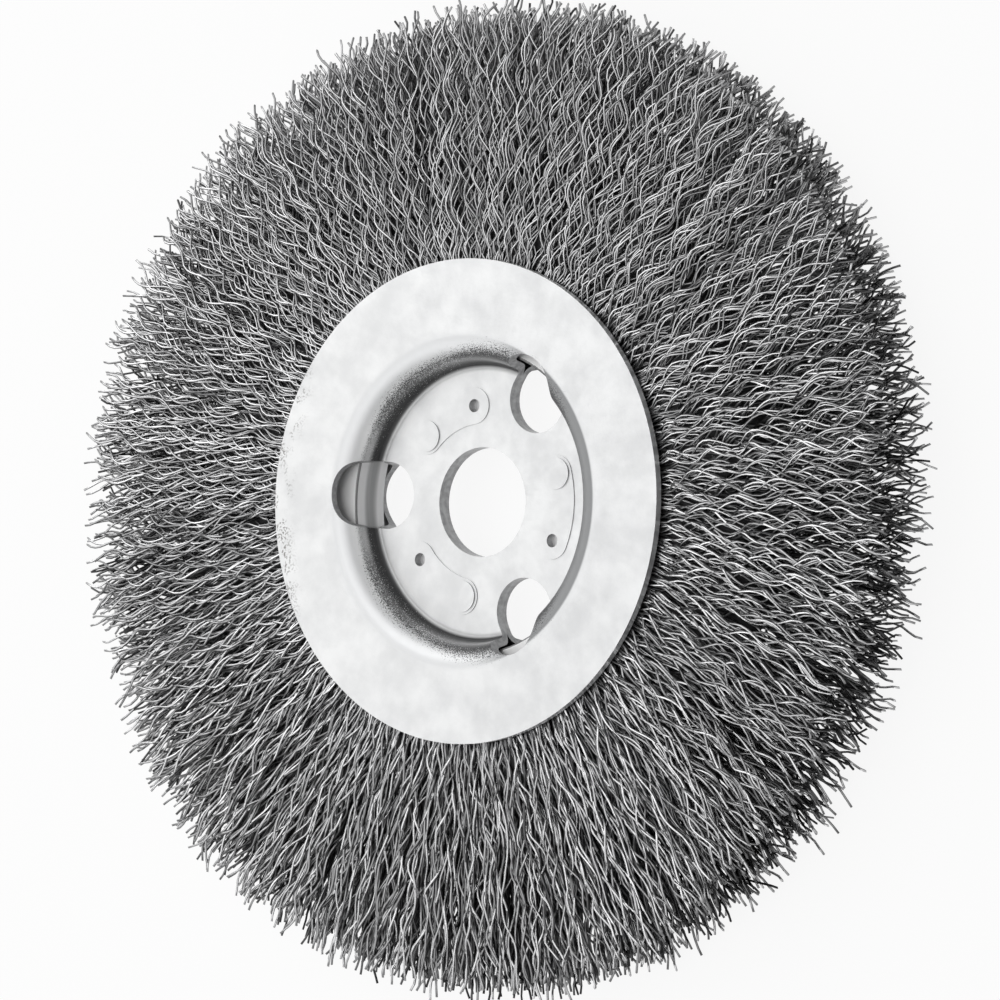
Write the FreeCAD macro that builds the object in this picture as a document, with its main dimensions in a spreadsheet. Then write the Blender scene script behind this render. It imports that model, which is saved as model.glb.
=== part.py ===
# Crimped wire wheel brush with a plain bore, in millimetres. Two like dished steel plates are clinched
# back to back, each with three pegs pressed into the other. They grip a channel ring, and the channel
# holds wires that are folded round a core ring. The brush lies flat: its axis is +Z, and the origin is
# on that axis where the plates meet.
import FreeCAD, Part

import math
import os
import random

import Sketcher

SIZES = [
    ("bore_diameter", 14.0, "bore through both plates"),
    ("plate_gauge", 1.0, "sheet thickness of the plates"),
    ("plate_diameter", 61.6, "across the flanges"),
    ("flange_height", 5.6, "outer face of a flange, above the joint between the plates"),
    ("floor_diameter", 35.2, "across the sunk floor, to its corner with the wall"),
    ("wall_lean", 13.0, "lean of the dish wall away from the axis, in degrees"),
    ("floor_bend", 0.8, "inside radius where the floor turns up into the wall"),
    ("flange_bend", 3.0, "outside radius where the wall turns over into the flange"),
    ("hole_circle", 32.5, "circle through the middles of the three holes"),
    ("hole_width", 8.7, "hole, across the radius"),
    ("hole_length", 10.0, "hole, along the radius"),
    ("clinch_circle", 24.8, "circle through the clinches"),
    ("clinch_angle", 40.0, "from a hole on to the next peg, and back to the last socket, in degrees"),
    ("clinch_diameter", 3.0, "peg that is pressed out of a plate"),
    ("clinch_floor", 0.6, "metal left between the peg and the face of the other plate's swelling"),
    ("clinch_play", 0.05, "room round the peg and under it"),
    ("pit_diameter", 1.7, "punch mark in the face over a peg"),
    ("pit_floor", 0.6, "metal left under the punch mark"),
    ("swelling_diameter", 4.0, "round swelling on the face over a socket"),
    ("swelling_height", 0.3, "how far the swelling stands out"),
    ("pad_width", 4.7, "low bent pad on the face, from a peg round to the next socket"),
    ("pad_height", 0.12, "how far the pad stands out"),
    ("channel_width", 5.8, "across the outsides of the channel's legs"),
    ("channel_depth", 5.45, "channel from its web's inner face to its mouth"),
    ("channel_gauge", 0.8, "sheet thickness of the channel"),
    ("channel_bend", 0.35, "outside radius of the channel's two folds"),
    ("channel_play", 0.2, "room between the channel's web and the dish walls"),
    ("core_wire", 2.5, "thickness of the core ring"),
    ("fold_thickness", 0.9, "wires between the core ring and the channel's web"),
    ("wire_play", 0.1, "room between the mass of wires and what holds it"),
    ("brush_diameter", 125.0, "across the wire tips"),
    ("face_width", 12.0, "brush face, across the wire tips"),
    ("flare_end", 0.4, "where the wires have spread, as a share of the way from the mouth to the flange edge"),
    ("lock_count", 116.0, "locks of wire round each side"),
    ("lock_scatter", 0.9, "how far the flattest locks lie under the fullest at the tips"),
    ("furrow_depth", 1.0, "furrow between two locks at the flange"),
    ("tip_furrow_depth", 3.2, "furrow between two locks at the tips"),
    ("crimp_count", 8.0, "half waves of crimp along a lock"),
    ("crimp_sway", 1.2, "sideways swing of a crimped lock"),
    ("tip_scatter", 2.4, "how far the shortest tips stay behind the longest"),
    ("notch_depth", 3.4, "notch in the rim between two tips"),
]

doc = FreeCAD.newDocument("wire_wheel_brush")
sheet = doc.addObject("Spreadsheet::Sheet", "sizes")
for line, (alias, number, meaning) in enumerate(SIZES, start=1):
    sheet.set(f"A{line}", meaning)
    sheet.set(f"B{line}", str(number))
    sheet.setAlias(f"B{line}", alias)
doc.recompute()

# Places that follow from the sizes.
FLOOR_RADIUS = "sizes.floor_diameter / 2"
PLATE_RADIUS = "sizes.plate_diameter / 2"
FLANGE_BACK = "(sizes.flange_height - sizes.plate_gauge)"
WALL_RISE = "tan(sizes.wall_lean)"
WALL_BACK = f"({FLOOR_RADIUS} + sizes.plate_gauge / cos(sizes.wall_lean) - sizes.plate_gauge * {WALL_RISE})"
FLANGE_CORNER = f"({FLOOR_RADIUS} + {FLANGE_BACK} * {WALL_RISE})"
FLANGE_BACK_CORNER = f"({WALL_BACK} + {FLANGE_BACK} * {WALL_RISE})"
CHANNEL_HALF = "sizes.channel_width / 2"
CHANNEL_INNER = f"({WALL_BACK} + {CHANNEL_HALF} * {WALL_RISE} + sizes.channel_play)"
CHANNEL_MOUTH = f"({CHANNEL_INNER} + sizes.channel_depth)"
CHANNEL_FLOOR = f"({CHANNEL_INNER} + sizes.channel_gauge)"
CORE_RADIUS = f"({CHANNEL_FLOOR} + sizes.fold_thickness + sizes.core_wire / 2)"
PEG_ANGLE = "(180 + sizes.clinch_angle)"
SOCKET_ANGLE = "(300 - sizes.clinch_angle)"
CLINCH_REACH = "sizes.clinch_circle / 2"
SOCKET_DEPTH = "(sizes.plate_gauge + sizes.swelling_height - sizes.clinch_floor)"
PEG_LENGTH = f"({SOCKET_DEPTH} - sizes.clinch_play)"
FACE_OVER_PEG = "(sizes.plate_gauge + sizes.pad_height)"
PIT_DEPTH = f"{FACE_OVER_PEG} + {PEG_LENGTH} - sizes.pit_floor"
HOLE_REACH = "(sizes.hole_length - sizes.hole_width) / 2"


def value(expression):
    """The number that an expression on the sizes comes to."""
    result = sheet.evalExpression(expression)
    return float(getattr(result, "Value", result))


def origin_feature(body, role):
    """A body's own origin plane or axis, by its role."""
    return next(item for item in body.Origin.OriginFeatures if item.Role == role)


def new_body(label):
    body = doc.addObject("PartDesign::Body", label)
    body.Label = label
    return body


def new_sketch(body, name, plane, height="0"):
    """A sketch on one of the body's origin planes, raised along the plane's normal."""
    sketch = body.newObject("Sketcher::SketchObject", name)
    sketch.AttachmentSupport = (origin_feature(body, plane), [""])
    sketch.MapMode = "FlatFace"
    sketch.setExpression(".AttachmentOffset.Base.z", height)
    return sketch


def pin_point(sketch, geometry, end, across, up):
    """Holds one point of a sketch at two expressions from the origin."""
    for kind, axis, place in (("DistanceX", -2, across), ("DistanceY", -1, up)):
        if place == "0":
            sketch.addConstraint(Sketcher.Constraint("PointOnObject", geometry, end, axis))
            continue
        index = sketch.addConstraint(Sketcher.Constraint(kind, -1, 1, geometry, end, value(place)))
        name = f"{kind}_{geometry}_{end}"
        sketch.renameConstraint(index, name)
        sketch.setExpression(f".Constraints.{name}", place)


def size_circle(sketch, geometry, radius):
    index = sketch.addConstraint(Sketcher.Constraint("Radius", geometry, value(radius)))
    name = f"radius_{geometry}"
    sketch.renameConstraint(index, name)
    sketch.setExpression(f".Constraints.{name}", radius)


def section(body, name, corners):
    """Closed outline of straight sides in the XZ plane, one (radius, height) expression pair a corner."""
    sketch = new_sketch(body, name, "XZ_Plane")
    points = [FreeCAD.Vector(value(across), value(up), 0) for across, up in corners]
    for start, end in zip(points, points[1:] + points[:1]):
        sketch.addGeometry(Part.LineSegment(start, end))
    for side, (across, up) in enumerate(corners):
        sketch.addConstraint(Sketcher.Constraint("Coincident", side, 2, (side + 1) % len(corners), 1))
        pin_point(sketch, side, 1, across, up)
    return sketch


def disc(body, name, height, across, up, radius):
    """A circle parallel to the plates."""
    sketch = new_sketch(body, name, "XY_Plane", height)
    centre = FreeCAD.Vector(value(across), value(up), 0)
    sketch.addGeometry(Part.Circle(centre, FreeCAD.Vector(0, 0, 1), value(radius)))
    pin_point(sketch, 0, 3, across, up)
    size_circle(sketch, 0, radius)
    return sketch


def bean(body, name, height, reach, turns, half):
    """A bent slot about the Z axis: two round ends on one circle, joined by an inner and an outer arc."""
    sketch = new_sketch(body, name, "XY_Plane", height)
    first, last = (math.radians(value(turn)) for turn in turns)
    up = FreeCAD.Vector(0, 0, 1)
    for turn, start in ((first, first + math.pi), (last, last)):
        centre = FreeCAD.Vector(math.cos(turn), math.sin(turn), 0) * value(reach)
        sketch.addGeometry(Part.ArcOfCircle(Part.Circle(centre, up, value(half)), start, start + math.pi))
    for radius in (value(reach) + value(half), value(reach) - value(half)):
        circle = Part.Circle(FreeCAD.Vector(0, 0, 0), up, radius)
        arc = sketch.addGeometry(Part.ArcOfCircle(circle, first, last))
        sketch.addConstraint(Sketcher.Constraint("Coincident", arc, 3, -1, 1))
    for one, one_end, other, other_end in ((0, 2, 2, 1), (2, 2, 1, 1), (1, 2, 3, 2), (3, 1, 0, 1)):
        sketch.addConstraint(Sketcher.Constraint("Tangent", one, one_end, other, other_end))
    pin_point(sketch, 0, 3, f"{reach} * cos({turns[0]})", f"{reach} * sin({turns[0]})")
    index = sketch.addConstraint(Sketcher.Constraint("DistanceX", -1, 1, 1, 3, value(reach) * math.cos(last)))
    sketch.renameConstraint(index, "last_end")
    sketch.setExpression(".Constraints.last_end", f"{reach} * cos({turns[1]})")
    size_circle(sketch, 0, half)
    return sketch


def slot(body, name, middle, reach, radius):
    """A slot on the X axis: two half circles whose centres lie a reach either side of the middle."""
    sketch = new_sketch(body, name, "XY_Plane")
    near, far = f"({middle}) + ({reach})", f"({middle}) - ({reach})"
    up = FreeCAD.Vector(0, value(radius), 0)
    right, left = (FreeCAD.Vector(value(place), 0, 0) for place in (near, far))
    for centre, start in ((right, -math.pi / 2), (left, math.pi / 2)):
        circle = Part.Circle(centre, FreeCAD.Vector(0, 0, 1), value(radius))
        sketch.addGeometry(Part.ArcOfCircle(circle, start, start + math.pi))
    sketch.addGeometry(Part.LineSegment(right + up, left + up))
    sketch.addGeometry(Part.LineSegment(left - up, right - up))
    for first, second in ((0, 2), (2, 1), (1, 3), (3, 0)):
        sketch.addConstraint(Sketcher.Constraint("Tangent", first, 2, second, 1))
    sketch.addConstraint(Sketcher.Constraint("Equal", 0, 1))
    pin_point(sketch, 0, 3, near, "0")
    pin_point(sketch, 1, 3, far, "0")
    size_circle(sketch, 0, radius)
    return sketch


def revolve(body, name, sketch):
    turned = body.newObject("PartDesign::Revolution", name)
    turned.Profile = sketch
    turned.ReferenceAxis = (sketch, ["V_Axis"])
    turned.Angle = 360
    doc.recompute()
    return turned


def bend(body, name, base, radius, corner):
    """Rounds the circular edge that a section's corner sweeps out."""
    far, height = (value(place) for place in corner)
    names = []
    for number, edge in enumerate(base.Shape.Edges, start=1):
        place = edge.Vertexes[0].Point
        if math.isclose(math.hypot(place.x, place.y), far, abs_tol=1e-4) and math.isclose(
            place.z, height, abs_tol=1e-4
        ):
            names.append(f"Edge{number}")
    rounded = body.newObject("PartDesign::Fillet", name)
    rounded.Base = (base, names[:1])
    rounded.setExpression("Radius", radius)
    doc.recompute()
    return rounded


def extrude(body, kind, name, sketch, length, downward):
    """A Pad or a Pocket of the sketch along Z, downward or upward."""
    feature = body.newObject(f"PartDesign::{kind}", name)
    feature.Profile = sketch
    feature.setExpression("Length", length)
    feature.Reversed = downward if kind == "Pad" else not downward
    doc.recompute()
    return feature


def three_round(body, kind, name, sketch, length, downward=False):
    """A Pad or a Pocket, repeated at thirds of a turn about Z."""
    feature = extrude(body, kind, name, sketch, length, downward)
    pattern = body.newObject("PartDesign::PolarPattern", f"{name}_pattern")
    pattern.Originals = [feature]
    pattern.Axis = (origin_feature(body, "Z_Axis"), [""])
    pattern.Angle = 360
    pattern.Occurrences = 3
    body.Tip = pattern
    doc.recompute()


def dished_blank(body, label):
    """The stamped sheet: flat floor, leaning wall and flat flange, with three holes in the wall's foot."""
    corners = [
        ("sizes.bore_diameter / 2", "0"),
        (WALL_BACK, "0"),
        (FLANGE_BACK_CORNER, FLANGE_BACK),
        (PLATE_RADIUS, FLANGE_BACK),
        (PLATE_RADIUS, "sizes.flange_height"),
        (FLANGE_CORNER, "sizes.flange_height"),
        (FLOOR_RADIUS, "sizes.plate_gauge"),
        ("sizes.bore_diameter / 2", "sizes.plate_gauge"),
    ]
    blank = revolve(body, f"{label}_blank", section(body, f"{label}_section", corners))
    bends = [
        ("floor_inside", "sizes.floor_bend", corners[6]),
        ("floor_outside", "sizes.floor_bend + sizes.plate_gauge", corners[1]),
        ("flange_outside", "sizes.flange_bend", corners[5]),
        ("flange_inside", "max(sizes.flange_bend - sizes.plate_gauge; 0.05 * sizes.plate_gauge)", corners[2]),
    ]
    for name, radius, corner in bends:
        blank = bend(body, f"{label}_{name}", blank, radius, corner)
    hole = f"{label}_hole"
    outline = slot(body, f"{hole}_outline", "-sizes.hole_circle / 2", HOLE_REACH, "sizes.hole_width / 2")
    three_round(body, "Pocket", hole, outline, "2 * sizes.flange_height")


def clinch_disc(body, name, height, turn, radius):
    """A circle on the first clinch of its kind."""
    across, up = f"{CLINCH_REACH} * cos({turn})", f"{CLINCH_REACH} * sin({turn})"
    return disc(body, f"{name}_outline", height, across, up, radius)


def plate(label):
    """One plate with its face up: punched pegs below, low pads above, and swellings over the sockets."""
    body = new_body(label)
    dished_blank(body, label)
    names = ("pad", "swelling", "peg", "pit", "socket")
    pad, swelling, peg, pit, socket = (f"{label}_{name}" for name in names)
    turns = (PEG_ANGLE, SOCKET_ANGLE)
    outline = bean(body, f"{pad}_outline", "sizes.plate_gauge", CLINCH_REACH, turns, "sizes.pad_width / 2")
    three_round(body, "Pad", pad, outline, "sizes.pad_height")
    outline = clinch_disc(body, swelling, "sizes.plate_gauge", SOCKET_ANGLE, "sizes.swelling_diameter / 2")
    three_round(body, "Pad", swelling, outline, "sizes.swelling_height")
    outline = clinch_disc(body, peg, "0", PEG_ANGLE, "sizes.clinch_diameter / 2")
    three_round(body, "Pad", peg, outline, PEG_LENGTH, downward=True)
    outline = clinch_disc(body, pit, FACE_OVER_PEG, PEG_ANGLE, "sizes.pit_diameter / 2")
    three_round(body, "Pocket", pit, outline, PIT_DEPTH, downward=True)
    outline = clinch_disc(body, socket, "0", SOCKET_ANGLE, "sizes.clinch_diameter / 2 + sizes.clinch_play")
    three_round(body, "Pocket", socket, outline, SOCKET_DEPTH)
    return body


def rear_plate():
    """The same stamping, turned over about the X axis."""
    body = plate("rear_plate")
    body.Placement = FreeCAD.Placement(FreeCAD.Vector(), FreeCAD.Rotation(FreeCAD.Vector(1, 0, 0), 180))
    return body


def wire_channel():
    """Ring of folded sheet, open outwards: a web inside and two legs."""
    body = new_body("wire_channel")
    low, high = f"-{CHANNEL_HALF}", CHANNEL_HALF
    corners = [
        (CHANNEL_INNER, low),
        (CHANNEL_MOUTH, low),
        (CHANNEL_MOUTH, f"{low} + sizes.channel_gauge"),
        (CHANNEL_FLOOR, f"{low} + sizes.channel_gauge"),
        (CHANNEL_FLOOR, f"{high} - sizes.channel_gauge"),
        (CHANNEL_MOUTH, f"{high} - sizes.channel_gauge"),
        (CHANNEL_MOUTH, high),
        (CHANNEL_INNER, high),
    ]
    ring = revolve(body, "channel_ring", section(body, "channel_section", corners))
    ring = bend(body, "channel_low_fold", ring, "sizes.channel_bend", corners[0])
    bend(body, "channel_high_fold", ring, "sizes.channel_bend", corners[7])
    return body


def torus(name, radius, thickness):
    ring = doc.addObject("Part::Torus", name)
    ring.setExpression("Radius1", radius)
    ring.setExpression("Radius2", thickness)
    return ring


def core_ring():
    """Round wire ring that the brush wires are folded round."""
    ring = torus("core_ring", CORE_RADIUS, "sizes.core_wire / 2")
    ring.Label = "core_ring"
    return ring


def plain_row(radius, height, count):
    """Points evenly round a circle."""
    turns = [2 * math.pi * step / count for step in range(count)]
    return [FreeCAD.Vector(radius * math.cos(turn), radius * math.sin(turn), height) for turn in turns]


def ridged_row(radii, heights, sways):
    """Points round the brush, one a crest or hollow, each pushed sideways by its own sway."""
    row = []
    for step, (radius, height, sway) in enumerate(zip(radii, heights, sways)):
        turn = 2 * math.pi * step / len(radii) + sway / radius
        row.append(FreeCAD.Vector(radius * math.cos(turn), radius * math.sin(turn), height))
    return row


def lock_sways(swings, row, sway):
    """Sways of one row: each lock swings to the other side from row to row, the furrows follow halfway."""
    crests = [(-1) ** row * swing * sway / 2 for swing in swings]
    both = []
    for left, right in zip(crests, crests[1:] + crests[:1]):
        both += [left, (left + right) / 2]
    return both


def brush_side(chance, face):
    """Rows of one side of the free wires, from under the flange out to the tips.

    The line of the locks rises from the flange's underside to the tips' half width as the square root
    of the way out, less what each lock lies lower at its tip. The furrows between the locks deepen with
    the square of the way out, and every lock zigzags by the crimp's sway.
    """
    locks = int(value("sizes.lock_count"))
    waves = int(value("sizes.crimp_count"))
    pinch = value(f"{FLANGE_BACK} - sizes.wire_play")
    tip = value("sizes.face_width / 2")
    furrow, tip_furrow = value("sizes.furrow_depth"), value("sizes.tip_furrow_depth")
    start = value(PLATE_RADIUS)
    swings = [chance.choice((-1, 1)) * chance.uniform(0.5, 1.0) for _ in range(locks)]
    drops = [value("sizes.lock_scatter") * chance.random() for _ in range(locks)]
    tips = rim_radii(chance, 0)
    rows = []
    for row in range(waves + 1):
        share = row / waves
        line = pinch + (tip - pinch) * math.sqrt(share)
        depth = furrow + (tip_furrow - furrow) * share**2
        heights = []
        for drop in drops:
            heights.append(face * (line - drop * share))
            heights.append(face * (line - depth * chance.uniform(0.8, 1.0)))
        sways = lock_sways(swings, row, value("sizes.crimp_sway") * min(1, row))
        radii = [start + (radius - start) * share for radius in tips]
        rows.append(ridged_row(radii, heights, sways))
    return rows


def rim_radii(chance, shift):
    """Radius of every tip and notch of one row of the rim. A shift of 1 puts tips where notches were."""
    longest = value("sizes.brush_diameter / 2 + sizes.tip_scatter / 2")
    scatter, notch = value("sizes.tip_scatter"), value("sizes.notch_depth")
    radii = []
    for step in range(2 * int(value("sizes.lock_count"))):
        radii.append(longest - scatter * chance.random() - notch * ((step + shift) % 2))
    return radii


def rim_rows(chance):
    """Rows across the brush face between its two sides. The tips of one row stand over the last's notches."""
    spacing = value("sizes.face_width / 2 - sizes.tip_furrow_depth") * 2 / 3
    rows = []
    for step, shift in ((1, 1), (0, 0), (-1, 1)):
        radii = rim_radii(chance, shift)
        rows.append(ridged_row(radii, [step * spacing] * len(radii), [0] * len(radii)))
    return rows


def band(first, second):
    """Triangles between two closed rows of point numbers that may hold different counts."""
    triangles = []
    left, right = 0, 0
    while left < len(first) or right < len(second):
        here, there = first[left % len(first)], second[right % len(second)]
        if (2 * left + 1) * len(second) > (2 * right + 1) * len(first):
            right += 1
            triangles.append((here, there, second[right % len(second)]))
        else:
            left += 1
            triangles.append((here, there, first[left % len(first)]))
    return triangles


def wire_mass_shape():
    """Closed skin of all wires: seat in the channel, flare under the flanges, crimped sides, ragged rim."""
    chance = random.Random(11)
    seat = value(f"{CHANNEL_HALF} - sizes.channel_gauge - sizes.wire_play")
    pinch = value(f"{FLANGE_BACK} - sizes.wire_play")
    inside = value(f"{CHANNEL_FLOOR} + sizes.wire_play")
    mouth = value(f"{CHANNEL_MOUTH} + sizes.wire_play")
    flared = mouth + (value(PLATE_RADIUS) - mouth) * value("sizes.flare_end")
    columns = int(value("sizes.lock_count")) // 2
    hidden = [(inside, seat), (mouth, seat), (flared, pinch - value("sizes.furrow_depth") / 2)]
    rows = [plain_row(radius, height, columns) for radius, height in hidden]
    rows += brush_side(chance, 1)
    rows += rim_rows(chance)
    rows += reversed(brush_side(chance, -1))
    rows += [plain_row(radius, -height, columns) for radius, height in reversed(hidden)]
    points = []
    numbers = []
    for row in rows:
        numbers.append(list(range(len(points), len(points) + len(row))))
        points += row
    triangles = []
    for first, second in zip(numbers, numbers[1:] + numbers[:1]):
        triangles += band(first, second)
    skin = Part.Shape()
    skin.makeShapeFromMesh((points, triangles), 0.001)
    solid = Part.Solid(skin.Shells[0])
    if solid.Volume < 0:
        solid.reverse()
    return solid


def wire_fill():
    """The wires as one solid, with the space that the core ring takes up inside it."""
    mass = doc.addObject("Part::Feature", "wire_mass")
    mass.Shape = wire_mass_shape()
    fill = doc.addObject("Part::Cut", "wire_fill")
    fill.Label = "wire_fill"
    fill.Refine = False
    fill.Base = mass
    fill.Tool = torus("core_seat", CORE_RADIUS, "sizes.core_wire / 2 + sizes.wire_play / 2")
    return fill


def check(pieces):
    """Stops if any object failed or a piece has no sound solid."""
    broken = [item.Name for item in doc.Objects if {"Invalid", "Error"} & set(item.State)]
    for piece in pieces:
        if piece.Shape.isNull() or not piece.Shape.isValid() or len(piece.Shape.Solids) != 1:
            broken.append(piece.Label)
    if broken:
        raise RuntimeError("not sound: " + ", ".join(broken))


pieces = [plate("front_plate"), rear_plate(), wire_channel(), core_ring(), wire_fill()]
doc.recompute()
check(pieces)
os.makedirs("parts", exist_ok=True)
for piece in pieces:
    piece.Shape.exportStep(f"parts/{piece.Label}.step")
    box = piece.Shape.BoundBox
    volume = piece.Shape.Volume / 1000
    print(f"{piece.Label}: {box.XLength:.2f} x {box.YLength:.2f} x {box.ZLength:.2f} mm, {volume:.3f} cm3")
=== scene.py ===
"""Crimped wire wheel brush on its rear face: single wires, zinc-coated plates, floor, light and camera."""
import math

import bpy
import numpy as np
from mathutils import Matrix, Vector


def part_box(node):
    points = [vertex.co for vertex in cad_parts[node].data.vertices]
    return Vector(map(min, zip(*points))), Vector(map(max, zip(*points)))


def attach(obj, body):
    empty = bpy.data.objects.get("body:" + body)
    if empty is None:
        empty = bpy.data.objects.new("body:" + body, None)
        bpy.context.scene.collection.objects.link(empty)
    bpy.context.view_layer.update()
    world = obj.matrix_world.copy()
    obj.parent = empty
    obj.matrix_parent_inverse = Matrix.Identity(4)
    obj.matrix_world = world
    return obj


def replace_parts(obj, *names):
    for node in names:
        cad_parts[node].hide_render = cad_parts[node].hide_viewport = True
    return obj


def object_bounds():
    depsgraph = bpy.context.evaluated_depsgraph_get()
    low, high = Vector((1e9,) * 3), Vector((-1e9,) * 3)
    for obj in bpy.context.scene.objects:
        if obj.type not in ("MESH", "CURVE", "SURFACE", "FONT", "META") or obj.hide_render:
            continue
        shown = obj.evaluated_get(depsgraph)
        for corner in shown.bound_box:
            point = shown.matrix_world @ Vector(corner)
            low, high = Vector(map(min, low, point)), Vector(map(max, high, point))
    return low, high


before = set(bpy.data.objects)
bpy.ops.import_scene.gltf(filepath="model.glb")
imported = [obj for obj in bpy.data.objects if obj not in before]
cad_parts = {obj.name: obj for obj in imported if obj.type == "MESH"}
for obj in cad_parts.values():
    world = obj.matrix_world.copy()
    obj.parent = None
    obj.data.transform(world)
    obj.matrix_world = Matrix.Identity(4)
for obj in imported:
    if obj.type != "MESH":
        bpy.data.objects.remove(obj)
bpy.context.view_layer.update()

MM = 0.001

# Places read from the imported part, in metres.
_, PLATE_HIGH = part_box("front_plate")
_, FILL_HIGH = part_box("wire_fill")
PLATE_RADIUS = PLATE_HIGH[0]
FLANGE_FACE = PLATE_HIGH[2]
TIP_HALF = FILL_HIGH[2]
SOLID_REACH = min(FILL_HIGH[0], FILL_HIGH[1])

# The sheet of a plate: its floor's corner, and the bend from the wall out to the flange.
GAUGE = 1.0 * MM
DISH_CORNER = 17.6 * MM
FLANGE_BEND = 3.0 * MM
BEND_OUTSIDE = 21.05 * MM
WALL_TOP = BEND_OUTSIDE - FLANGE_BEND * math.sin(math.radians(60))

# The crimped wires: their thickness and waves, and the height at which the outermost pass under the flange.
WIRE_RADIUS = 0.165 * MM
CRIMP_PITCH = 7.6 * MM
CRIMP_SWING = 0.52 * MM
CRIMP_RISE = 0.60 * MM
UNDER_FLANGE = FLANGE_FACE - GAUGE - 0.25 * MM

# The wires' tips. A few wires are longer, and none passes the solid's reach by more than the spare.
TIP_RADIUS = 61.9 * MM
TIP_SPARE = 1.7 * MM
TIP_LIMIT = SOLID_REACH + TIP_SPARE
TIP_LIMIT_SPREAD = 0.9 * MM
TIP_LEVEL_SPREAD = 0.45 * MM
REACH_SPREAD = 1.1 * MM
LONG_SHARE = 0.07
LONG_EXTRA = (1.0 * MM, 2.6 * MM)

# Where the wires leave the plate's grip: how far inside its edge they start to swing, and over what length.
GRIP_END = 0.2 * MM
GRIP_FADE = 2.2 * MM

# How the wires differ. Of two spreads, neighbours that make a lock share the first, and the second is
# each wire's own.
LOCK_WIRES = 5
ANGLE_SPREAD = 0.7
THICKNESS_SPREAD = 0.05
PITCH_SPREAD = (0.07, 0.05)
PHASE_SPREAD = (0.0, 0.8)
SWING_SPREAD = (0.0, 0.2)
LEAN_SPREAD = (0.035, 0.045)
STRAY_SHARE = 0.07
STRAY_SPREAD = (0.0, 0.17)
WANDER_PITCH = 17.0 * MM
WANDER_SHIFT = 2.1
WANDER_SPREAD = (0.3 * MM, 0.35 * MM)
SPLAY_SPREAD = (0.6 * MM, 1.4 * MM)
SPLAY_POWER = 2.5
RISE_POWER = 0.9
TONE_SPREAD = 0.26

# Painted light on the wires: one side of the brush is a little brighter, and the side across from it darker
# by as much.
PAINTED_SIDE_LIGHT = 0.10
PAINTED_LIGHT_ANGLE = math.radians(105)

# The worn rim: how far its tips stand past or short of a true circle, by angle from +X.
RIM_ANGLES = np.radians(
    (0, 20, 32, 45, 70, 105, 125, 145, 168, 177, 185, 193, 207, 218, 235, 250, 265, 300, 340)
)
RIM_SWELL = np.array(
    (0.2, 1.8, 2.9, 2.8, 1.2, -0.8, -0.4, 0.4, 2.0, 2.2, -0.4, 2.6, 0.4, 1.4, 0.2, -0.9, -1.2, -0.3, -0.3)
) * MM

# The layers of wires: a piece's name, how many wires, the shares of the half width that they fill, their
# roots' radii, the steps along a wire, the face of the brush (1 front, -1 rear) and how bright they are,
# darker for the deeper layers and the rim as painted shade.
ROOTS = (28.6 * MM, 29.6 * MM)
RIM_ROOTS = (42.0 * MM, 47.0 * MM)
WIRE_LAYERS = (
    ("front_wires_top", 680, (0.80, 1.0), ROOTS, 40, 1, 0.74),
    ("front_wires_middle", 680, (0.62, 0.95), ROOTS, 40, 1, 0.55),
    ("front_wires_low", 600, (0.40, 0.80), ROOTS, 40, 1, 0.25),
    ("rear_wires_top", 850, (0.75, 1.0), ROOTS, 34, -1, 0.70),
    ("rear_wires_low", 800, (0.45, 0.85), ROOTS, 34, -1, 0.38),
    ("rim_wires_front", 800, (0.0, 0.6), RIM_ROOTS, 16, 1, 0.15),
    ("rim_wires_rear", 800, (0.0, 0.6), RIM_ROOTS, 16, -1, 0.15),
)

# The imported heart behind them: radius and height of its section's upper corners, and steps round the ring.
HEART_UPPER = np.array(((20.7, 1.9), (25.3, 1.9), (27.4, 3.2), (33.0, 3.1), (40.0, 2.6), (45.0, 1.0))) * MM
HEART_STEPS = 240

# Colours of the wires, and of the heart, whose darkness is painted shade.
WIRE_DARK = (0.03, 0.03, 0.031)
WIRE_BRIGHT = (0.55, 0.55, 0.555)
HEART_DARK = (0.012, 0.012, 0.013)
HEART_PALE = (0.05, 0.05, 0.052)

# Colours of the plates: zinc with painted light and shade, painted shade with soot in the dish, bare cut
# edges and worn specks.
# The zinc's clouding goes between these two, and they also give painted light: lighter towards -X, darker
# towards +X.
ZINC_DULL_AND_SHADED = (0.57, 0.575, 0.58)
ZINC_CLEAN_AND_LIT = (0.77, 0.775, 0.775)
# Painted shade on the bend from the wall out to the flange.
ZINC_BEND_SHADE = (0.54, 0.545, 0.55)
# Painted light on the floors of the punched pits, which lie in shade.
ZINC_PIT_LIGHT = (0.93, 0.93, 0.93)
ZINC_SHADED = (0.11, 0.113, 0.115)
# Painted shade and dark reflection on the dish's wall, with sooty specks past its top.
SHADE_SOOT_BLACK = (0.02, 0.02, 0.021)
SHADE_SOOT_GREY = (0.12, 0.12, 0.122)
SHADE_SOOT_THIN = (0.58, 0.58, 0.585)
BARE_DARK = (0.2, 0.2, 0.205)
BARE_PALE = (0.36, 0.365, 0.37)
WORN_SPECK = (0.13, 0.12, 0.11)

# Colours of the channel and of the core ring.
LEG_PALE = (0.95, 0.95, 0.95)
WEB_PALE = (0.93, 0.93, 0.935)
STREAK_DARK = (0.12, 0.122, 0.124)
STREAK_PALE = (0.4, 0.405, 0.41)
FOLD_SHADE = (0.1, 0.1, 0.102)
CORE_DARK = (0.36, 0.365, 0.37)
CORE_PALE = (0.6, 0.605, 0.61)

# The photograph's view: angles of the disc to the camera, its distance and its place in the picture.
SWING = math.radians(38.07)
NOD = math.radians(2.15)
ROLL_ON_AXIS = math.radians(4.5)
CAMERA_DISTANCE = 0.600
LENS_MM = 169.13
SENSOR_MM = 36.0
SHIFT = (0.0130, 0.0022)

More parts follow.
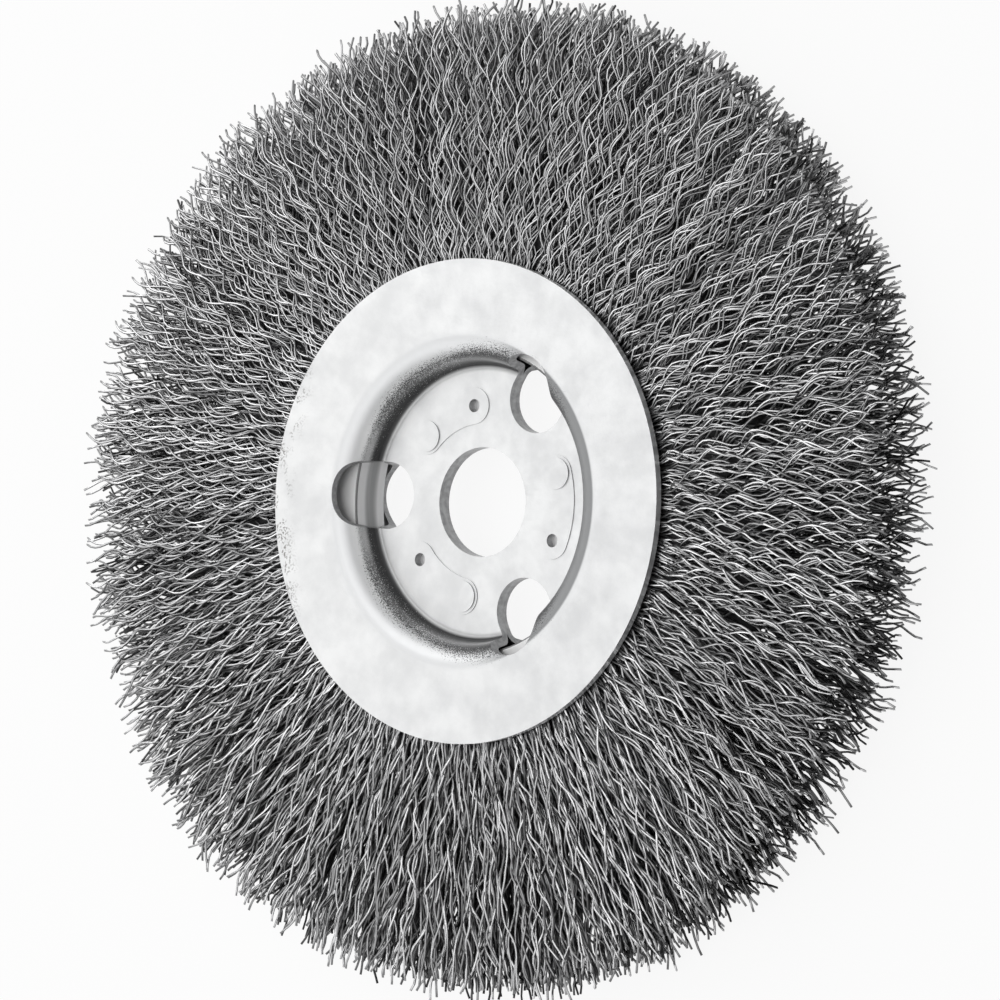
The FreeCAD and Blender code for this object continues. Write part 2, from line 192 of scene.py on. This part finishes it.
# How far off the lamps stand, and their angle round the direction that a flat face mirrors to the eye.
LAMP_DISTANCE = 1.0
RING_SPREAD = math.radians(36)

# Their powers in watts and sides in metres: low at -X, towards +Y, overhead and towards -Y.
RING_LIGHTS = ((1.7, 0.72), (3.8, 0.72), (4.4, 1.0), (2.3, 0.72))

# The surroundings: the grey that they give as light, the white that is seen, and the floor's grey, the
# share of it that glows white for the eye, and half its side in metres.
WORLD_LIGHT = (0.13, 0.13, 0.13)
WHITE = (1.0, 1.0, 1.0)
FLOOR_GREY = (0.9, 0.9, 0.9)
FLOOR_GLOW = 0.9
FLOOR_HALF = 1.5


class Number:
    """A shader number on a socket. Python's operators on it add Math nodes."""

    def __init__(self, shader, socket):
        self.shader = shader
        self.socket = socket

    def join(self, operation, *values):
        return self.shader.number("ShaderNodeMath", {"operation": operation}, dict(enumerate(values)))

    def __add__(self, other):
        return self.join("ADD", self, other)

    __radd__ = __add__

    def __sub__(self, other):
        return self.join("SUBTRACT", self, other)

    def __rsub__(self, other):
        return self.join("SUBTRACT", other, self)

    def __mul__(self, other):
        return self.join("MULTIPLY", self, other)

    __rmul__ = __mul__

    def __pow__(self, power):
        return self.join("POWER", self, power)

    def size(self):
        """The number without its sign: the root of its square."""
        return (self * self) ** 0.5

    def above(self, low, high):
        """0 under low, 1 over high and a soft step between them."""
        sockets = {"Value": self, "From Min": low, "From Max": high}
        return self.shader.number("ShaderNodeMapRange", {"interpolation_type": "SMOOTHSTEP"}, sockets)


class Shader:
    """The node tree of a material or of the world."""

    def __init__(self, owner):
        self.owner = owner
        owner.use_nodes = True
        self.tree = owner.node_tree
        self.tree.nodes.clear()

    def node(self, kind, settings=None, sockets=None):
        """Adds a node of any type: its settings are set first, then its sockets' values or links."""
        made = self.tree.nodes.new(kind)
        for name, setting in (settings or {}).items():
            setattr(made, name, setting)
        for name, given in (sockets or {}).items():
            source = given.socket if isinstance(given, Number) else given
            if isinstance(source, bpy.types.NodeSocket):
                self.tree.links.new(source, made.inputs[name])
            else:
                made.inputs[name].default_value = source
        return made

    def number(self, kind, settings, sockets, output=0):
        return Number(self, self.node(kind, settings, sockets).outputs[output])

    def place(self):
        """The point's own coordinates on the object, in metres."""
        return self.node("ShaderNodeTexCoord").outputs["Object"]

    def upright(self):
        """How squarely the surface faces up or down at the point, from -1 to 1."""
        return self.parts(self.node("ShaderNodeTexCoord").outputs["Normal"])[2]

    def parts(self, vector):
        """The x, y and z of a vector."""
        split = self.node("ShaderNodeSeparateXYZ", None, {0: vector})
        return [Number(self, split.outputs[axis]) for axis in range(3)]

    def stretched(self, vector, stretch):
        """A vector times another, so that a pattern on it is drawn out where the stretch is small."""
        made = self.node("ShaderNodeVectorMath", {"operation": "MULTIPLY"}, {0: vector, 1: stretch})
        return made.outputs[0]

    def noise(self, vector, scale, detail=4.0, roughness=0.55):
        """Soft noise round a half, with as many waves to a metre as its scale."""
        sockets = {"Vector": vector, "Scale": scale, "Detail": detail, "Roughness": roughness}
        return self.number("ShaderNodeTexNoise", None, sockets)

    def attribute(self, name):
        return self.number("ShaderNodeAttribute", {"attribute_name": name}, None, "Fac")

    def blend(self, share, first, second):
        """A colour between two others, each three numbers or the outcome of another blend."""
        ends = [end if isinstance(end, bpy.types.NodeSocket) else (*end, 1.0) for end in (first, second)]
        sockets = {0: share, 6: ends[0], 7: ends[1]}
        return self.node("ShaderNodeMix", {"data_type": "RGBA"}, sockets).outputs[2]

    def seen(self):
        """1 for what the eye sees, straight or mirrored in metal, and 0 for light that falls on things."""
        path = self.node("ShaderNodeLightPath")
        kinds = ("Is Camera Ray", "Is Glossy Ray", "Is Transmission Ray")
        camera, glossy, through = (Number(self, path.outputs[kind]) for kind in kinds)
        return camera + glossy + through

    def close(self, kind, surface):
        """Ends the tree in an output node of a kind."""
        self.node(kind, None, {"Surface": surface})
        return self.owner

    def finish(self, sockets, bump=None, bump_depth=0.0):
        """Ends the tree in a Principled surface, with a Bump node where a height is given."""
        if bump is not None:
            made = self.node("ShaderNodeBump", None, {"Height": bump, "Distance": bump_depth})
            sockets = {**sockets, "Normal": made.outputs[0]}
        surface = self.node("ShaderNodeBsdfPrincipled", None, sockets)
        return self.close("ShaderNodeOutputMaterial", surface.outputs[0])


def new_shader(name):
    return Shader(bpy.data.materials.new(name))


def wire_steel():
    """Drawn steel wire: each wire has its own grey, with painted shade and a painted lighter side in it, and
    its own gloss.
    """
    shader = new_shader("wire_steel")
    tone = shader.attribute("tone")
    grain = shader.noise(shader.place(), 700.0, 2.0)
    colour = shader.blend(tone * (0.75 + 0.5 * grain), WIRE_DARK, WIRE_BRIGHT)
    return shader.finish({"Base Color": colour, "Metallic": 0.88, "Roughness": 0.36 - 0.12 * tone})


def heart_steel():
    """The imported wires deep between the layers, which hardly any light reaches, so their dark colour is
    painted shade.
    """
    shader = new_shader("heart_steel")
    grain = shader.noise(shader.place(), 900.0)
    colour = shader.blend(grain, HEART_DARK, HEART_PALE)
    return shader.finish({"Base Color": colour, "Metallic": 0.3, "Roughness": 0.7})


class PlateZinc(Shader):
    """Zinc-coated sheet, with a method for each of its marks.

    The marks go by a point's place: across is its x, aside its y without the sign, radius its distance
    from the brush's axis, and rise its height off the face where the two plates meet, up or down. So both
    plates have the same marks.
    """

    def __init__(self):
        super().__init__(bpy.data.materials.new("plate_zinc"))
        self.spot = self.place()
        self.fine = self.noise(self.spot, 1400.0, 2.0)
        self.across, along, height = self.parts(self.spot)
        self.aside = along.size()
        self.rise = height.size()
        self.radius = (self.across * self.across + along * along) ** 0.5

    def shade_and_soot_cover(self):
        """Painted shade and dark reflection on the dish's wall, with soot sprayed out in specks past its top.

        It starts in the floor's corner. The spray grows away from the X axis, and it is thickest and
        reaches furthest at the two holes on the +X side.
        """
        spray = self.aside.above(6 * MM, 16 * MM)
        thick = spray * self.across.above(-7 * MM, 6 * MM)
        grain = self.noise(self.spot, 7000.0, 2.0) - 0.5
        scatter = grain * (1.7 * MM + spray * (3.0 * MM) + thick * (2.0 * MM))
        spread = spray * (0.3 * MM) + thick * (1.4 * MM)
        past_shade_and_soot = (self.radius - spread + scatter).above(WALL_TOP - 0.45 * MM, WALL_TOP)
        past_corner = self.radius.above(DISH_CORNER - 1.0 * MM, DISH_CORNER - 0.05 * MM)
        return past_corner * (1.0 - past_shade_and_soot)

    def shade_and_soot_colour(self):
        """Painted shade: black low on the wall and paler halfway up, most of all near the X axis."""
        ridge = self.rise.above(2.3 * MM, 3.2 * MM) * (1.0 - 0.6 * self.rise.above(3.3 * MM, 4.3 * MM))
        thin = self.blend(self.aside.above(5 * MM, 10 * MM), SHADE_SOOT_THIN, SHADE_SOOT_GREY)
        return self.blend(ridge, SHADE_SOOT_BLACK, thin)

    def east_shade(self):
        """The bend on the +X side lies in its own shade, a little less so towards its outside."""
        within = 1.0 - self.radius.above(BEND_OUTSIDE - 0.2 * MM, BEND_OUTSIDE + 0.15 * MM)
        past_wall = self.radius.above(WALL_TOP - 0.3 * MM, WALL_TOP)
        ease = self.radius.above(WALL_TOP + 0.3 * MM, WALL_TOP + 1.0 * MM)
        return self.across.above(3 * MM, 11 * MM) * within * past_wall * (0.97 - 0.19 * ease)

    def cut_edges(self):
        """Upright faces are cut ones, but for the plate's own rim."""
        upright = self.upright()
        within = 1.0 - self.radius.above(PLATE_RADIUS - 2.0 * MM, PLATE_RADIUS - 1.5 * MM)
        return (1.0 - (upright * upright).above(0.002, 0.03)) * within

    def worn_specks(self):
        """Fine specks, in patches, at the flange's edge on the -X side."""
        side = (1.0 - self.across.above(-29 * MM, -24 * MM)) * self.radius.above(27.0 * MM, 30.0 * MM)
        patches = self.noise(self.spot, 450.0, 1.0).above(0.48, 0.6)
        return self.noise(self.spot, 3200.0, 2.0).above(0.5, 0.6) * patches * side

    def bend(self):
        """The band of the bend from the wall out to the flange."""
        past_bend = self.radius.above(BEND_OUTSIDE - 0.3 * MM, BEND_OUTSIDE + 0.8 * MM)
        return self.radius.above(WALL_TOP, WALL_TOP + 0.8 * MM) * (1.0 - past_bend)

    def zinc(self, bend):
        """The coat: softly clouded, with painted light brighter towards -X and painted shade towards +X,
        painted shade on the bend and painted light in the punched pits.
        """
        cloud = self.noise(self.spot, 170.0, 5.0, 0.6).above(0.3, 0.7)
        clean_and_lit_share = 0.6 * cloud + 0.4 * (1.0 - self.across.above(-30 * MM, 30 * MM))
        clouded_and_lit = self.blend(clean_and_lit_share, ZINC_DULL_AND_SHADED, ZINC_CLEAN_AND_LIT)
        lit_pit = 1.0 - self.rise.above(0.15 * MM, 0.35 * MM)
        return self.blend(lit_pit, self.blend(bend, clouded_and_lit, ZINC_BEND_SHADE), ZINC_PIT_LIGHT)


def plate_zinc():
    """The plates' finish: zinc with painted light and shade, and over it the +X bend's shade, painted shade
    with soot, bare cut edges and worn specks in turn.
    """
    shader = PlateZinc()
    bend = shader.bend()
    bare = shader.blend(shader.fine.above(0.3, 0.7), BARE_DARK, BARE_PALE)
    shaded = shader.blend(shader.east_shade(), shader.zinc(bend), ZINC_SHADED)
    shaded_and_sooted = shader.blend(shader.shade_and_soot_cover() * 0.96, shaded, shader.shade_and_soot_colour())
    edged = shader.blend(shader.cut_edges() * 0.85, shaded_and_sooted, bare)
    colour = shader.blend(shader.worn_specks() * 0.8, edged, WORN_SPECK)
    rough = 0.26 + 0.12 * shader.fine + 0.14 * bend
    return shader.finish({"Base Color": colour, "Metallic": 0.55, "Roughness": rough}, shader.fine, 0.01 * MM)


def channel_steel():
    """Folded sheet of the channel: pale legs, painted shade along each fold and drawn streaks round its web.
    """
    shader = new_shader("channel_steel")
    place = shader.place()
    streaks = shader.noise(shader.stretched(place, (60.0, 60.0, 1500.0)), 1.0, 3.0).above(0.35, 0.65)
    height = shader.parts(place)[2]
    upright = shader.upright()
    flatness = upright * upright
    leg = flatness.above(0.9, 0.98)
    fold = flatness.above(0.04, 0.2) * (1.0 - leg)
    middle = 1.0 - (height * height).above((0.3 * MM) ** 2, (1.5 * MM) ** 2)
    dull = shader.blend(streaks, STREAK_DARK, STREAK_PALE)
    web = shader.blend(middle * (0.6 + 0.4 * streaks), WEB_PALE, dull)
    # Painted shade along the folds.
    colour = shader.blend(fold * 0.9, shader.blend(leg, web, LEG_PALE), FOLD_SHADE)
    return shader.finish({"Base Color": colour, "Metallic": 0.2 - 0.2 * leg, "Roughness": 0.42})


def core_steel():
    """Drawn wire of the core ring."""
    shader = new_shader("core_steel")
    cloud = shader.noise(shader.place(), 300.0)
    colour = shader.blend(cloud, CORE_DARK, CORE_PALE)
    return shader.finish({"Base Color": colour, "Metallic": 0.8, "Roughness": 0.42})


def make_piece(name, points, faces, material):
    """A smooth mesh object from arrays of points and of faces that all have as many corners."""
    mesh = bpy.data.meshes.new(name)
    corners = faces.shape[1]
    mesh.vertices.add(len(points))
    mesh.vertices.foreach_set("co", points.astype(np.float32).ravel())
    mesh.loops.add(faces.size)
    mesh.loops.foreach_set("vertex_index", faces.astype(np.int32).ravel())
    mesh.polygons.add(len(faces))
    mesh.polygons.foreach_set("loop_start", np.arange(0, faces.size, corners, dtype=np.int32))
    mesh.polygons.foreach_set("use_smooth", np.ones(len(faces), dtype=bool))
    mesh.materials.append(material)
    mesh.update(calc_edges=True)
    mesh.validate()
    piece = bpy.data.objects.new(name, mesh)
    bpy.context.scene.collection.objects.link(piece)
    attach(piece, "root")
    return piece


def centre_lines(chance, angle, begin, root_height, reach, tip_height, steps):
    """Points along many crimped wires, as an array of wires by points by x, y and z.

    A wire runs out along a radius from begin to reach, and its height goes from the root's to the tip's
    with a power of the way past the plate. Round that line it swings sideways as a sine of the radius, and
    up and down as another sine of the same pitch, shifted by an amount of its own. A few neighbours make a
    lock, whose wires swing nearly in step and lean the same way. A slow sine, a lean of the wire's own and
    a splay near the tip make it wander, and a few stray wires lean far.
    """
    count = len(angle)
    lock = np.arange(count) // LOCK_WIRES
    locks = lock[-1] + 1

    def drawn(shared, own):
        """One normal number per wire: a part that its lock shares and a part of its own."""
        return (chance.normal(0.0, shared, locks)[lock] + chance.normal(0.0, own, count))[:, None]

    share = np.linspace(0.0, 1.0, steps + 1)[None, :]
    radius = begin[:, None] + (reach - begin)[:, None] * share
    past = radius - PLATE_RADIUS
    free = np.clip(past / (TIP_RADIUS - PLATE_RADIUS), 0.0, 1.1)
    loose = np.clip((past + GRIP_END) / GRIP_FADE, 0.0, 1.0)
    pitch = CRIMP_PITCH * (1.0 + drawn(*PITCH_SPREAD))
    phase = chance.uniform(0.0, 2 * np.pi, locks)[lock][:, None] + drawn(*PHASE_SPREAD)
    shift = chance.uniform(-0.5 * np.pi, 0.5 * np.pi, count)[:, None]
    crimped = (1.0 + drawn(*SWING_SPREAD)) * loose
    turns = 2 * np.pi * radius / pitch + phase
    stray = (chance.random(count) < STRAY_SHARE)[:, None]
    lean = drawn(*LEAN_SPREAD) + stray * drawn(*STRAY_SPREAD)
    slow_turns = 2 * np.pi * radius / WANDER_PITCH + WANDER_SHIFT * phase
    wander = drawn(*WANDER_SPREAD) * np.sin(slow_turns) * loose
    splay = drawn(*SPLAY_SPREAD) * free**SPLAY_POWER
    sideways = CRIMP_SWING * crimped * np.sin(turns) + lean * past * free + wander + splay
    turn = angle[:, None] + sideways / radius
    climb = np.clip(free, 0.0, 1.0) ** RISE_POWER
    rise = root_height[:, None] + (tip_height - root_height)[:, None] * climb
    height = rise + CRIMP_RISE * crimped * np.sin(turns + shift)
    height = np.clip(height, -TIP_HALF, TIP_HALF)
    return np.stack([radius * np.cos(turn), radius * np.sin(turn), height], axis=2)


def tubes(lines, thickness):
    """Closed three-sided tubes round many centre lines, as points and triangles.

    Each point's three corners lie square to the line's direction there, which is the difference of its
    neighbours. One axis of the corners is level, the other stands on it. A triangle closes each end.
    """
    count, rings = lines.shape[:2]
    along = np.gradient(lines, axis=1)
    along /= np.linalg.norm(along, axis=2, keepdims=True)
    level = np.cross(np.array([0.0, 0.0, 1.0]), along)
    level /= np.linalg.norm(level, axis=2, keepdims=True)
    upright = np.cross(along, level)
    turn = 2 * np.pi * np.arange(3) / 3
    ring = level[:, :, None, :] * np.cos(turn)[:, None] + upright[:, :, None, :] * np.sin(turn)[:, None]
    points = lines[:, :, None, :] + ring * thickness[:, None, None, None]
    first = np.arange(count)[:, None] * rings * 3
    ring_start = (first + np.arange(rings - 1) * 3)[:, :, None]
    here, after = ring_start + np.arange(3), ring_start + np.roll(np.arange(3), -1)
    walls = np.stack([here, after, after + 3, here, after + 3, here + 3], axis=3)
    last = first + (rings - 1) * 3
    faces = np.concatenate([walls.reshape(-1, 3), first + (0, 2, 1), last + (0, 1, 2)])
    return points.reshape(-1, 3), faces


def lay_wires(chance, name, count, depth, start, steps, side, tone):
    """One piece of many wires.

    depth gives the shares of the half width between which the wires' roots and tips lie, start the radii at
    which they begin and side the face of the brush, 1 for the front and -1 for the rear. tone is how bright
    the wires are on the whole, from 0 to 1, set lower for deeper layers as painted shade. The angles are even
    steps round the ring, each a little off.
    """
    angle = 2 * np.pi * (np.arange(count) + chance.uniform(-ANGLE_SPREAD, ANGLE_SPREAD, count)) / count
    level = side * chance.uniform(*depth, count)
    tip_height = level * (TIP_HALF - 0.5 * CRIMP_RISE) + chance.normal(0.0, TIP_LEVEL_SPREAD, count)
    swell = np.interp(angle, RIM_ANGLES, RIM_SWELL, period=2 * np.pi)
    longer = chance.uniform(*LONG_EXTRA, count) * (chance.random(count) < LONG_SHARE)
    reach = TIP_RADIUS + swell + chance.normal(0.0, REACH_SPREAD, count) + longer
    reach = np.minimum(reach, TIP_LIMIT - chance.uniform(0.0, TIP_LIMIT_SPREAD, count))
    begin = chance.uniform(*start, count)
    lines = centre_lines(chance, angle, begin, level * UNDER_FLANGE, reach, tip_height, steps)
    points, faces = tubes(lines, WIRE_RADIUS * chance.normal(1.0, THICKNESS_SPREAD, count))
    piece = make_piece(name, points, faces, WIRE_STEEL)
    # Painted light: the wires on one side of the brush are lighter, and those across from it darker.
    side_light = PAINTED_SIDE_LIGHT * np.cos(angle - PAINTED_LIGHT_ANGLE)
    tones = np.clip(chance.normal(tone, TONE_SPREAD, count) + side_light, 0.0, 1.0)
    layer = piece.data.attributes.new("tone", "FLOAT", "POINT")
    layer.data.foreach_set("value", np.repeat(tones, (steps + 1) * 3).astype(np.float32))


def heart_ring():
    """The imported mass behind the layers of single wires.

    Its section is a closed outline, the upper corners and the same mirrored, and each of its points is
    turned about the brush's axis in even steps.
    """
    outline = np.concatenate([HEART_UPPER, HEART_UPPER[::-1] * (1, -1)])
    count = len(outline)
    turn = 2 * np.pi * np.arange(HEART_STEPS)[:, None] / HEART_STEPS
    radius, height = outline[:, 0], np.broadcast_to(outline[:, 1], (HEART_STEPS, count))
    points = np.stack([radius * np.cos(turn), radius * np.sin(turn), height], axis=2)
    rows, columns = np.meshgrid(np.arange(HEART_STEPS), np.arange(count), indexing="ij")
    row, next_row = rows * count, (rows + 1) % HEART_STEPS * count
    next_column = (columns + 1) % count
    faces = np.stack([row + columns, row + next_column, next_row + next_column, next_row + columns], axis=2)
    return make_piece("wire_heart", points.reshape(-1, 3), faces.reshape(-1, 4), HEART_STEEL)


def photo_camera():
    """Camera at the photograph's view: the disc's axis is swung and nodded from the line of sight."""
    sin_s, cos_s, sin_n, cos_n = math.sin(SWING), math.cos(SWING), math.sin(NOD), math.cos(NOD)
    right = Vector((cos_s, 0.0, -sin_s))
    up = Vector((sin_n * sin_s, cos_n, sin_n * cos_s))
    back = Vector((cos_n * sin_s, -sin_n, cos_n * cos_s))
    turn = Matrix((right, up, back)).transposed().to_4x4()
    data = bpy.data.cameras.new("camera")
    data.lens = LENS_MM
    data.sensor_width = SENSOR_MM
    data.shift_x, data.shift_y = SHIFT
    camera = bpy.data.objects.new("camera", data)
    rolled = Matrix.Rotation(ROLL_ON_AXIS, 4, "Z")
    camera.matrix_world = rolled @ Matrix.Translation(back * CAMERA_DISTANCE) @ turn
    bpy.context.scene.collection.objects.link(camera)
    bpy.context.scene.camera = camera


def soft_light(name, direction, distance, size, power):
    """A square soft light that looks at the origin from a direction."""
    data = bpy.data.lights.new(name, "AREA")
    data.shape = "SQUARE"
    data.size = size
    data.energy = power
    lamp = bpy.data.objects.new(name, data)
    place = Vector(direction).normalized() * distance
    lamp.location = place
    lamp.rotation_euler = place.to_track_quat("Z", "Y").to_euler()
    lamp.visible_camera = False
    bpy.context.scene.collection.objects.link(lamp)


def ring_of_lights():
    """Four soft lights in a ring round the direction that a flat face mirrors to the eye.

    Round wires catch them whichever way they run, and the flat plates don't.
    """
    sight = Vector((math.sin(SWING), -math.sin(NOD), math.cos(SWING)))
    view = (Matrix.Rotation(ROLL_ON_AXIS, 3, "Z") @ sight).normalized()
    mirrored = Vector((-view.x, -view.y, view.z))
    level = mirrored.cross(Vector((0.0, 1.0, 0.0))).normalized()
    upright = level.cross(mirrored)
    for number, (power, size) in enumerate(RING_LIGHTS):
        turn = math.radians(90 * number)
        side = level * math.cos(turn) + upright * math.sin(turn)
        direction = mirrored * math.cos(RING_SPREAD) + side * math.sin(RING_SPREAD)
        soft_light(f"soft_light_{number}", direction, LAMP_DISTANCE, size, power)


def surroundings():
    """White for the eye and softly grey as light."""
    world = Shader(bpy.data.worlds.new("surroundings"))
    colour = world.blend(world.seen(), WORLD_LIGHT, WHITE)
    sky = world.node("ShaderNodeBackground", None, {"Color": colour})
    bpy.context.scene.world = world.close("ShaderNodeOutputWorld", sky.outputs[0])


def white_floor():
    """A pale floor under the brush's lowest point, which keeps a soft shadow."""
    shader = new_shader("floor_white")
    diffuse = shader.node("ShaderNodeBsdfDiffuse", None, {"Color": (*FLOOR_GREY, 1.0)})
    glow = shader.node("ShaderNodeEmission", None, {"Color": (*WHITE, 1.0)})
    share = shader.seen() * FLOOR_GLOW
    mix = shader.node("ShaderNodeMixShader", None, {0: share, 1: diffuse.outputs[0], 2: glow.outputs[0]})
    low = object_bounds()[0][2]
    corners = [(x * FLOOR_HALF, y * FLOOR_HALF, low) for x, y in ((-1, -1), (1, -1), (1, 1), (-1, 1))]
    mesh = bpy.data.meshes.new("floor")
    mesh.from_pydata(corners, [], [(0, 1, 2, 3)])
    mesh.materials.append(shader.close("ShaderNodeOutputMaterial", mix.outputs[0]))
    floor = bpy.data.objects.new("floor", mesh)
    bpy.context.scene.collection.objects.link(floor)


def dress(node, material):
    """Gives a CAD node its finish."""
    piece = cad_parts[node]
    piece.data.materials.clear()
    piece.data.materials.append(material)


WIRE_STEEL = wire_steel()
HEART_STEEL = heart_steel()
PLATE_ZINC = plate_zinc()
dress("front_plate", PLATE_ZINC)
dress("rear_plate", PLATE_ZINC)
dress("wire_channel", channel_steel())
dress("core_ring", core_steel())

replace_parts(heart_ring(), "wire_fill")
chance = np.random.default_rng(5)
for layer in WIRE_LAYERS:
    lay_wires(chance, *layer)

photo_camera()
surroundings()
white_floor()
ring_of_lights()
bpy.context.scene.view_settings.view_transform = "Standard"
